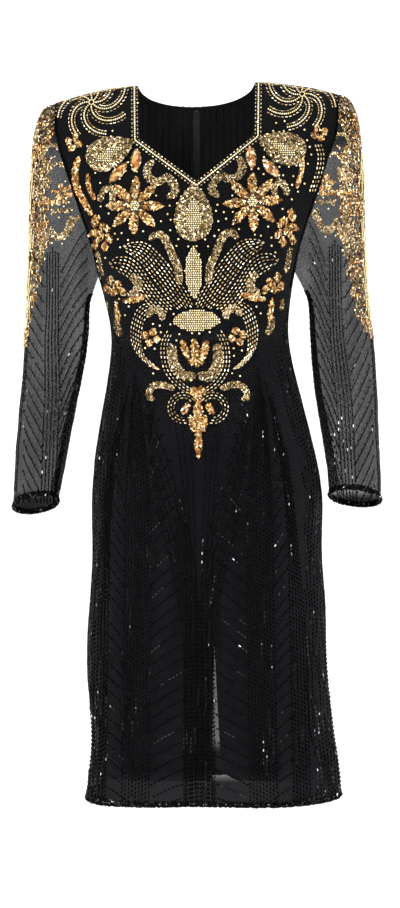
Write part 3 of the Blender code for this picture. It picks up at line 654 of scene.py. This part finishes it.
for name in ("drop_centre", "drop_left", "drop_right"):
    dome, low, high, middle = motif(name)
    z = low.z
    while z < high.z:
        x = low.x + dice.uniform(0, 0.001)
        while x < high.x:
            spot = Vector((x + dice.uniform(-3e-4, 3e-4), middle.y, z + dice.uniform(-3e-4, 3e-4)))
            here = dome.seen(spot)
            if here and not in_heart(name, dome, middle, spot):
                turn = dice.uniform(0, pi)
                lay(laid, here, (cos(turn), 0, sin(turn)), *SEED, 0.0008)
            x += 0.0019
        z += 0.0017
sewn("gold_seed_beads", "bugle", laid, gold_glass)

# Cream pearls: sewn in rows over the hearts of the drops, the leaf and the oval, and strung as cords for the
# wheels on the shoulders and round the neck.
laid = []
for name in HEARTS:
    dome, low, high, middle = motif(name)
    row, z = 0, low.z + 0.001
    while z < high.z:
        x = middle.x + (0.0008 if row % 2 else 0.0) - 0.0031 * int((middle.x - low.x) / 0.0031 + 1)
        while x < high.x + 0.001:
            spot = Vector((x, middle.y, z))
            here = dome.seen(spot)
            if here and in_heart(name, dome, middle, spot):
                lay(laid, here, UP, 0.00128, 0.00128, 0.0007)
            x += 0.0031
        z += 0.003
        row += 1

STAR, WHEEL, WHEEL_REACH = (-58.5, 205.0), (-104.5, 101.0), 37.0
arms = []
for k in range(8):
    turn = radians(45 * k + 8)
    arm = []
    for t in np.linspace(0.04, 1, 9):
        at = turn - 1.35 * t**1.3
        reach = WHEEL_REACH * t
        arm.append((WHEEL[0] + reach * cos(at), WHEEL[1] + 0.95 * reach * sin(at)))
    arms.append(arm)
pearls = mirrored([mark for arm in arms for mark in along(arm, 2.1)])
laid += settle(pearls, 0.0014, 0.0014, spread=0.06)


TILT = 0.03  # the slope at which the shoulders hang


def round_neck(inset, step, radius, length, tones):
    """Beads round the neck, so far in from its edge: down each side to the point in front, and in a shallow
    curve behind. Their tones are taken in turn."""
    corners = [(-0.0835 - inset, -0.009), (-0.081 - inset, -0.0875 - inset * 0.45),
               (0.0, -0.151 - inset * 1.28)]
    side = []
    for (x0, z0), (x1, z1) in zip(corners, corners[1:]):
        run = hypot(x1 - x0, z1 - z0)
        count = max(1, round(run / step))
        for t in ((i + 0.5) / count for i in range(count)):
            side.append((x0 + (x1 - x0) * t, z0 + (z1 - z0) * t, (x1 - x0) / run, (z1 - z0) / run))
    count = round(0.2 / step)
    turns = [pi * (i + 0.5) / count - pi / 2 for i in range(count)]
    curved = [((0.0835 + inset) * sin(turn), -0.035 - inset + 0.0285 * (1 - cos(turn)),
               cos(turn), sin(turn) * 0.3) for turn in turns]
    rows = []
    for spots in (side, [(-x, z, -dx, dz) for x, z, dx, dz in side], curved):
        for i, (x, z, dx, dz) in enumerate(spots):
            z += TILT * x
            here = (back.behind(x, z, 1.0) if spots is curved
                    else bodice.under(Vector((x, -1.0, z)), Vector((0, 1, 0))))
            if here:
                rows.append((here[0] + here[1] * radius * 0.8, Vector((dx, 0, dz)), here[1], radius, length,
                             tones[i % len(tones)]))
    return rows


laid += settle(mirrored(blob(*STAR, 4.6, 4.6, pitch=2.1)), 0.00135, 0.00135, lift=1.6)
laid += round_neck(0.005, 0.0031, 0.0014, 0.0014, (0.9, 0.4, 1.0))
sewn("cream_pearls", "round", laid, cream_glass, faceted=False)

# Amber and copper beads: the long petals of the two stars, the small flowers, the leaves and the pendant.
copper = []
PETAL_OUT = 17.5  # from the star's middle to a petal's
for k in range(8):
    slant = 45 * k + 2
    turn = radians(slant)
    copper += blob(STAR[0] - PETAL_OUT * sin(turn), STAR[1] + PETAL_OUT * cos(turn), 4.4, 11.5,
                   slant, 1.55, 1.3)
for u, v, size in ((-122, 140, 3.2), (-43, 337, 3.6)):
    for k in range(4):
        turn = radians(90 * k + 20)
        copper += blob(u + 1.6 * size * cos(turn), v + 1.6 * size * sin(turn), size, size, 0, 1.5)
for u, v, wide, tall, slant in (
    (-97, 219, 3.6, 6.5, 20), (-88, 226, 3.6, 6.0, -50), (-93, 234, 4.4, 5.5, 10), (-84, 237, 3.4, 5.0, -30),
    (-99, 231, 3.0, 6.0, 60), (-88, 245, 3.4, 5.0, 0), (-98, 243, 3.0, 5.0, 15),
    (-83, 279, 3.4, 5.0, 0), (-76, 284, 3.6, 4.5, 60), (-80, 291, 4.0, 4.0, 0), (-71, 291, 3.0, 5.0, -30),
    (-86, 288, 3.0, 4.6, -30), (-58, 298, 3.4, 13, 78), (-76, 311, 2.6, 11, -8), (-87, 306, 2.2, 5, 0),
    (-9.5, 350, 3.6, 10, -14), (-12, 409, 3.4, 6.0, 28),
):
    copper += blob(u, v, wide, tall, slant, 1.5, 1.2)
copper = mirrored(copper)
for u, v, wide, tall, slant in (
    (0, 350, 3.8, 12, 0), (0, 362, 8, 4.5, 0), (-3.5, 392, 4.4, 4.4, 0), (4.0, 391, 4.2, 4.2, 0),
    (0, 399, 4.2, 4.4, 0), (0, 412, 5.0, 8, 0), (-5.5, 424, 3.6, 9, -14), (5.5, 424, 3.6, 9, 14),
    (0, 427, 4.4, 12, 0), (0, 444, 3.4, 14, 0),
):
    copper += blob(u, v, wide, tall, slant, 1.5, 1.2)
for points, width in (
    ([(-116, 154), (-119, 168), (-116, 184), (-108, 200), (-101, 213)], 6.5),
    ([(-106, 172), (-104, 184), (-98, 197)], 4.5), ([(106, 163), (106, 178), (102, 193)], 4.5),
):
    copper += band(points, width, 1.5)
laid = settle(copper, 0.00105, 0.0017, lift=0.9)
sewn("amber_beads", "bugle", laid, copper_glass)

# Gold-lined bugles, sewn as running stitches: beside the wheels' arms and the neck cord, in sprays that fan
# out from above the oval, and in arcs round the lower motifs.
DASH, STAGGER = 4.5, 0.62  # between bugles, and how far each row starts past the last
SPRAYS = (  # how many rows, and the two edges of each spray, from tip to root
    (7, [(-73, 246.5), (-62, 242), (-47.6, 243), (-33.9, 255), (-21.6, 270.5), (-12.4, 284.5),
         (-4.8, 298), (-0.2, 309)],
     [(-73, 247.5), (-63, 253), (-52, 262), (-44, 273), (-34.5, 286), (-26, 298), (-19, 306), (-14, 311)]),
    (6, [(-87, 264), (-75, 256), (-61.4, 258.5), (-52.2, 268), (-43, 282), (-30.8, 297.5), (-18, 311)],
     [(-87, 266), (-76, 270), (-65, 276.5), (-56.5, 288), (-49, 299), (-40, 309), (-29, 317)]),
)
dashes = []
for arm in arms:
    dashes += along(arm[1:], 3.4, 3.0) + along(arm[2:], 3.4, -3.0)
for count, upper, lower in SPRAYS:
    upper, lower = curve(upper, 4)[0], curve(lower, 4)[0]
    upper, lower = (np.array([side[round(i * (len(side) - 1) / 15)] for i in range(16)])
                    for side in (upper, lower))
    for k in range(count):
        dashes += along(upper + (lower - upper) * k / (count - 1), DASH, shift=STAGGER * k % 1)[k % 2 * 2:]
ARCS = (
    (5, [(-31, 309), (-45, 303), (-56, 309), (-61.5, 322), (-63, 334), (-61, 346.5), (-55, 357), (-46, 366),
         (-38, 370)],
     [(-25, 316), (-40, 313), (-49, 319), (-52, 328), (-53.5, 338), (-53, 348), (-50, 357), (-43, 364),
      (-37, 369)]),
    (3, [(-26, 330), (-32.5, 342), (-34, 356), (-32, 370), (-25.5, 381), (-17, 389), (-10, 393)],
     [(-22, 333), (-27, 344), (-28, 356), (-26, 368), (-20.5, 377), (-14, 384), (-9, 388)]),
)
for count, outer, inner in ARCS:
    outer, inner = np.array(outer), np.array(inner)
    for k in range(count):
        dashes += along(outer + (inner - outer) * k / (count - 1), DASH, shift=STAGGER * k % 1)
for radius in (15.5, 12.6, 9.8):
    dashes += along([(-14.5 + radius * cos(a), 408 + radius * sin(a))
                     for a in np.linspace(-0.6, -4.9, 14)], DASH)
dashes = mirrored(dashes)
for k in range(3):
    dashes += along([(118 + 2.8 * k, 150), (122 + 2.8 * k, 162), (121 + 2.8 * k, 178),
                     (115 + 2.6 * k, 198)], DASH)
laid = settle(dashes, 0.00072, 0.00165, spread=0.08)
for inset in (0.0013, 0.0088):
    laid += round_neck(inset, 0.0058, 0.0008, 0.0012, (0.7, 0.2, 0.4))
for sign in (-1, 1):
    for i in range(38):
        x = sign * (0.088 + 0.0029 * i)
        on_top = bodice.under(Vector((x, -0.0035, 0.2)), -UP)
        lay(laid, on_top, (sign, 0, -0.12), 0.00085, 0.0011, 0.0007)
sewn("gold_bugles", "bugle", laid, dash_glass)

# Single pearls, dotted over the black ground between the motifs.
taken = gold + pearls + copper + dashes
for inset in (-8, 0, 7):
    taken += mirrored(along([(-60.5 - inset, 80), (-60.5 - inset, 143 + 0.4 * inset),
                             (0, 188 + 1.3 * inset)], 2))
taken = np.array([(u, v) for u, v, _, _ in taken])
dots = []
v = 86.0
while v < 400:
    half = np.interp(v, [92, 150, 215, 275, 330, 372, 400], [128, 122, 103, 88, 62, 46, 30])
    u = -half + dice.uniform(0, 6)
    while u < half:
        at = (u + dice.uniform(-2, 2), v + dice.uniform(-2, 2))
        if np.hypot(*(taken - at).T).min() > 3.7:
            dots.append((*at, 1.0, 0.0))
        u += 9.5
    v += 8.5
laid = settle(dots, 0.0015, 0.0015, skirt, spread=0.1)
sewn("single_pearls", "round", laid, cream_glass, faceted=False)

# The sleeves' beadwork. A cascade of gold and copper beads runs from the shoulder down the outer side, with
# three pearl ovals on it and a few small motifs in front.
CASCADE = np.array([(92, 10), (98, 20), (112, 23), (128, 22), (135, 17), (143, 14), (155, 16), (178, 20),
                    (204, 21), (225, 19), (238, 22), (250, 20), (262, 16), (290, 14), (310, 12), (326, 8),
                    (334, 4)])
OUTER = np.array([(92, -134), (100, -147), (110, -154), (124, -159), (150, -163), (180, -164), (220, -165),
                  (276, -168), (300, -171), (334, -173)])
EDGE_ON = 0.86  # cloth turned further to the side than this is beaded from the side, not from the front
for side, sign in (("left", -1), ("right", 1)):
    ovals = [nodes["pearls_%s_%s" % (side, place)] for place in ("upper", "middle", "lower")]
    arm = Ground(sleeves[side], *ovals)
    oval_trees = [Ground(oval) for oval in ovals]

    def sleeve_spot(u, v):
        """A place on this sleeve, by the pattern of the left one."""
        return arm.seen(target(-sign * u, v))

    gold_laid, copper_laid, cream_laid = [], [], []

    def drop_bead(here, way):
        """A bead of the cascade: cream where it lies on an oval, else gold or copper, in patches."""
        place = here[0]
        for oval in oval_trees:
            near = oval.tree.find_nearest(place)
            if near[0] is not None and (near[0] - place).length < 0.0006:
                lay(cream_laid, here, UP, 0.00105, 0.00105, 0.0007)
                return
        if dice.random() < 0.2:
            return
        patch = sin(place.z * 150 + place.y * 60) + sin(place.z * 63 - place.x * 90 + 1.3)
        kind = copper_laid if dice.random() < 0.45 + 0.3 * patch else gold_laid
        lay(kind, here, way, 0.00085, 0.0013, 0.0007)

    v = 92.0
    while v < 334:
        edge = np.interp(v, OUTER[:, 0], OUTER[:, 1])
        u = edge - 3
        while u < edge + np.interp(v, CASCADE[:, 0], CASCADE[:, 1]) + 2 * sin(v / 3.1):
            here = sleeve_spot(u, v)
            if here and abs(here[1].x) < EDGE_ON:
                drop_bead(here, (dice.uniform(-0.4, 0.4), 0, 1))
            u += 1.45
        v += 1.45
    z = -0.018
    while z > -0.375:
        y = -0.045
        while y < 0.038 * min(1.0, (0.39 + z) / 0.2):
            start = Vector((sign * 0.5, y + dice.uniform(-4e-4, 4e-4), z + TILT * sign * 0.22))
            here = arm.under(start, Vector((-sign, 0, 0)))
            if here and abs(here[0].x) > 0.19 and (abs(here[1].x) >= EDGE_ON or here[1].y > 0):
                drop_bead(here, (0, dice.uniform(-0.4, 0.4), 1))
            y += 0.0021
        z -= 0.0021
    petals = blob(-140, 199, 9, 2.6, 6) + blob(-151, 199, 8, 2.6, 4)
    for k in range(6):
        turn = radians(60 * k + 15)
        petals += blob(-130 + 6.5 * cos(turn), 190 + 6.5 * sin(turn), 2.6, 4.6, 60 * k - 75, sharp=1.2)
    scrolls = bands(
        ([(-136, 147), (-140, 142), (-146, 142), (-150, 147), (-153, 153)], 3.6),
        ([(-127, 167), (-132, 161), (-139, 160), (-144, 165), (-150, 172)], 3.6),
        ([(-142, 174), (-149, 178), (-154, 186), (-152, 193)], 7.5),
        ([(-122, 213), (-124, 226), (-131, 234), (-140, 232), (-143, 224)], 7.5),
        ([(-122, 206), (-129, 208), (-136, 206), (-141, 212)], 4.5),
        ([(-113, 213), (-118, 218), (-122, 224)], 4), ([(-145, 230), (-149, 241), (-153, 252)], 6),
    )
    sprays = []
    for k in range(3):
        sprays += along([(-146 - 3.3 * k, 206), (-149 - 3.3 * k, 218), (-147 - 3.3 * k, 231)], 3.2,
                        shift=0.5 * (k % 2))
        sprays += along([(-139 - 3 * k, 152 + k), (-145 - 2 * k, 158 + k), (-147 - 2 * k, 166)], 3.2)
    for marks, heap, r, l in ((petals, copper_laid, 0.00095, 0.0013), (scrolls, gold_laid, 0.00085, 0.0012),
                              (sprays, gold_laid, 0.00075, 0.0016)):
        for u, v, du, dv in marks:
            lay(heap, sleeve_spot(u, v), (-sign * du, 0, -dv), r, l, 0.0008)
    for u, v in ((-150, 118), (-147, 130), (-134, 163), (-128, 178), (-141, 206), (-134, 214), (-129, 203),
                 (-121, 207), (-124, 199), (-131, 241), (-141, 240), (-152, 246)):
        lay(cream_laid, sleeve_spot(u, v), UP, 0.0013, 0.0013, 0.001)
    sewn("sleeve_%s_gold" % side, "bugle", gold_laid, gold_glass)
    sewn("sleeve_%s_amber" % side, "bugle", copper_laid, copper_glass)
    sewn("sleeve_%s_pearls" % side, "round", cream_laid, cream_glass)


# Black bugles over the skirt. Two feathers hang from the waist: their lines fan out, fall straight in
# bundles down the middle, the feathers' stems and the sides, and barbs slant between the bundles.
STEM, WAIST_V, HEM_V = -62.0, 366.0, 812.0
BLACK_STEP = 4.3
lines = []


def falling(u_end, reach, top_u=STEM, top_v=WAIST_V, spread=1.0):
    """A line from the top of a feather to its place in a bundle, and on down to the hem."""
    points = []
    for v in np.linspace(top_v, HEM_V, 26):
        t = min(1.0, (v - top_v) / reach)
        share = sin(pi / 2 * t) ** spread
        flare = (v - 560) / 250 * 0.06 * u_end if v > 560 else 0.0
        points.append((top_u + (u_end - top_u) * share + flare, v))
    return points


for k in range(9):
    lines.append(falling(STEM - 12 + 3.2 * k, 110 + 10 * abs(k - 4), STEM + 1.1 * (k - 4),
                         WAIST_V + 9 * abs(k - 4)))
for k in range(6):
    lines.append(falling(-1.2 - 2.7 * k, 230 - 14 * k, STEM + 4 + 3.0 * k, WAIST_V + 16 + 24 * k, 1.15))
    lines.append(falling(-90 - 3.1 * k, 190 + 10 * k, STEM - 5 - 4.0 * k, WAIST_V + 14 + 13 * k, 0.9))
for k in range(3):
    lines.append(falling(-3 - 5 * k, 160, -8 - 9 * k, 440 - 22 * k))
for k in range(30):
    v = 388 + 14.2 * k
    drop = max(12.0, 38 - 0.8 * k)
    inner = -14 - 34 * max(0.0, 1 - k / 10) ** 1.4
    lines.append([(inner, v), (0.55 * inner + 0.45 * (STEM + 13), v + 0.4 * drop), (STEM + 13, v + drop)])
    outer = -97 + 22 * max(0.0, 1 - k / 7)
    lines.append([(outer, v + 2), (0.5 * outer + 0.5 * (STEM - 13), v + 2 + 0.42 * drop),
                  (STEM - 13, v + 2 + drop)])


def gleams(marks, share):
    """Tones along a line of black bugles: here and there a few in a row are turned to catch the light."""
    found, run = [], 0
    for _ in marks:
        if not run and dice.random() < share:
            run = dice.choice((4, 6, 8))
        found.append(dice.uniform(0.8, 1.0) if run else dice.uniform(0.0, 0.6))
        run -= run > 0
    return found


ABOVE_WAIST = 32  # of the heights at which the side edges are found
shown, tones = [], []
for i, line in enumerate(lines):
    marks = along(line, BLACK_STEP, shift=STAGGER * i % 1)
    for half in (marks, [(-u, v, -du, dv) for u, v, du, dv in marks]):
        shown += half
        tones += gleams(half, 0.06 if i >= 24 else 0.012)
for sign in (-1, 1):
    heights = np.arange(104, 813, 6)
    edge = []
    for v in heights:
        u = sign * 70.0
        while skirt.seen(target(u, v)):
            u += sign * 0.25
        edge.append(abs(u))
    for inset in (0.4, 1.7):
        marks = along([(sign * (wide - inset), v) for wide, v in zip(edge[:ABOVE_WAIST], heights)], 2.6,
                      shift=inset / 2)
        shown += marks
        tones += gleams(marks, 0.02)
    heights, edge = heights[ABOVE_WAIST:], edge[ABOVE_WAIST:]
    for k, inset in enumerate((0.5, 2.2, 4.4, 7.0, 9.8, 12.8, 16.0, 19.4, 22.8)):
        side = [(sign * (wide - inset - 0.7 * sin(v / 9 + k) * min(k, 1)), v)
                for wide, v in zip(edge[2 * k:], heights[2 * k:])]
        marks = [mark for mark in along(side, BLACK_STEP, shift=STAGGER * k % 1)
                 if k < 7 or abs(mark[0]) > 106]
        shown += marks
        tones += gleams(marks, 0.08)
laid = settle(shown, 0.00098, 0.0017, skirt, tones=tones, spread=0.1)
sewn("skirt_bugles_front", "bugle", laid, black_glass)

# The same lines cover the back, where the photograph doesn't reach, from the shoulders down.
laid = []
for u, v, du, dv in mirrored([mark for i, line in enumerate(lines)
                              for mark in along(line, BLACK_STEP * 1.15, shift=STAGGER * i % 1)]):
    x = (u + 2.0) * SQUARE * 1.02
    lay(laid, back.behind(x, (NECK_V - v) * SQUARE), (du, 0, -dv), 0.00095, 0.0018)
heights = np.arange(-0.36, -1.01, -0.0068)
rims = [[max((x for x in np.arange(0.08, 0.23, 0.0005) if back.behind(sign * x, z)), default=0.0)
         for sign in (1, -1)] for z in heights]
for k in range(11):
    for z, pair in zip(heights[2 * k % 5:], rims[2 * k % 5:]):
        for sign, wide in zip((1, -1), pair):
            x = sign * (wide - 0.001 - 0.0042 * k)
            lay(laid, back.behind(x, z - 0.0034 * (k % 2)), UP, 0.0008, 0.0022)
for k in range(-14, 15):
    for i in range(64):
        x, z = 0.0118 * k * (0.82 + 0.18 * i / 64), -0.03 - 0.0052 * i
        lay(laid, back.behind(x, z), UP, 0.0008, 0.002)
sewn("skirt_bugles_back", "bugle", laid, black_glass)

# Black bugles on the sleeves: a stem of lines down the front of each, barbs to either side, and the same
# again on its back.
for side, sign in (("left", -1), ("right", 1)):
    arm = Ground(sleeves[side])
    rims = []
    for v in range(292, 500, 8):
        across = [u for u in np.arange(95, 195, 0.5) if arm.seen(target(sign * u, v))]
        rims.append((v, min(across), max(across)))
    rims = np.array(rims)
    marks = []
    for k in range(5):
        marks += along([(-146 + 2.8 * k, 244 + 3 * abs(k - 2)), (-147 + 2.9 * k, 310), (-151 + 3.6 * k, 370),
                        (-155 + 3.6 * k, 430), (-158 + 3.2 * k, 503)], 3.3, shift=0.5 * (k % 2))
    for k in range(19):
        v = 226 + 15.0 * k
        lean = (v - 246) / 235
        marks += along([(-171 - 5 * lean, v + 4), (-166 - 6 * lean, v + 16), (-149 - 9 * lean, v + 46)], 3.3)
        inner = -np.interp(v, rims[:, 0], rims[:, 1]) - 5
        stem = -133 - 12 * lean
        marks += along([(inner, v), (0.6 * inner + 0.4 * stem, v + 14), (stem, v + 44)], 3.3)
    for k in range(6):
        marks += along([(-near - 0.6 - 1.7 * k * (0.4 + (v - 292) / 330), v) for v, near, _ in rims], 2.9,
                       shift=0.5 * (k % 2))
    for k in range(2):
        marks += along([(0.7 + 1.9 * k - far, v) for v, _, far in rims[4:]], 2.9, shift=0.5 * k)
    marks = [mark for mark in marks if mark[1] < 503 and (mark[1] > 250 or abs(mark[0]) < 150)]
    laid = []
    for i, (u, v, du, dv) in enumerate(marks):
        spot, way = target(-sign * u, v), (-sign * du, 0, -dv)
        lay(laid, arm.seen(spot), way, 0.00105, 0.0018)
        if i % 2:
            lay(laid, arm.behind(spot.x, spot.z, 2.0), way, 0.00075, 0.0019)
    sewn("sleeve_%s_bugles" % side, "bugle", laid, black_glass)

# A close row of black bugles covers each side seam, from under the arm to the hem.
laid = []
for sign in (-1, 1):
    line = []
    for z in np.arange(-0.26, -1.0215, -0.0033):
        hits = [skirt.under(Vector((sign, y, z)), Vector((-sign, 0, 0)))
                for y in np.arange(-0.02, 0.035, 0.0004)]
        hits = [hit for hit in hits if hit and hit[0].x * sign > 0.05]
        if hits:
            line.append((hits[-1][0] + Vector((0, 0.0002, 0)), hits[-1][1]))
    for (place, out), (ahead, _) in zip(line, line[1:]):
        if (ahead - place).length < 0.012:
            out = Vector((sign, 0, 0)) if abs(out.x) < 0.3 else out
            lay(laid, (place, out), ahead - place, 0.001, 0.0018, 0.0004)
sewn("side_seam_bugles", "bugle", laid, black_glass)


# The rolled edges are closely set with short black bugles lying every way.
def spread_over(piece, pitch):
    """Places scattered over a piece, one to each square of that pitch, and the way out of each."""
    owed = 0.0
    for face in piece.data.polygons:
        a, b, c, *d = [piece.data.vertices[i].co for i in face.vertices]
        d = d[0] if d else c
        owed += face.area / pitch**2
        while owed >= 1:
            owed -= 1
            t = dice.random()
            yield a.lerp(b, t).lerp(d.lerp(c, t), dice.random()), face.normal.copy()


laid = []
for roll, cloth in (
    (rolls["hem_roll"], (front, back_left, back_right)),
    (rolls["cuff_roll_left"], (sleeves["left"],)), (rolls["cuff_roll_right"], (sleeves["right"],)),
):
    seam = Ground(*cloth)
    for place, out in spread_over(roll, 0.0024):
        way = out.cross(Vector((dice.uniform(-1, 1), dice.uniform(-1, 1), dice.uniform(-1, 1))))
        lay(laid, (place, out), way, 0.00085, 0.0013, 0.0003)
        near, normal = seam.tree.find_nearest(place + UP * 0.0018)[:2]
        if out.z > 0.2 and normal.dot(out) > 0.3:  # two more rows on the cloth just above the roll
            for rise in (0.0002, 0.0022):
                lay(laid, (near + UP * rise, normal), normal.cross(UP), 0.0009, 0.0015)
sewn("edge_bugles", "bugle", laid, black_glass)

# The zip at the centre back. Its nylon coil lies inside the seam; slider and tab are enamelled black, and a
# hook and eye close the seam above it.
coil = Finish("nylon coil", Base_Color=(0.012, 0.012, 0.013, 1), Roughness=0.45)
coil.bump(coil.node("TexWave", {"bands_direction": "Z"}, Vector=coil.place(), Scale=180), 0.0006)
enamel = Finish("black enamel", Base_Color=(0.015, 0.015, 0.016, 1), Roughness=0.25, Metallic=0.6,
                Coat_Weight=0.5)
enamel.bump(enamel.noise(700), 0.0001, 0.3)
low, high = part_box("zip_chain")
for turn, way in ((0.0, 1), (pi, -1)):
    bpy.ops.mesh.primitive_torus_add(
        major_segments=20, minor_segments=8, major_radius=0.0026, minor_radius=0.00055,
        location=(way * 0.0022, low.y + 0.0012, high.z + 0.0032), rotation=(pi / 2, 0, turn))
    hook = bpy.context.object
    hook.name = "hook" if way > 0 else "eye"
    hook.data.materials.append(enamel.material)
    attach(hook, "dress")
repainted(coil, "zip_chain")
repainted(enamel, "zip_slider", "zip_pull")
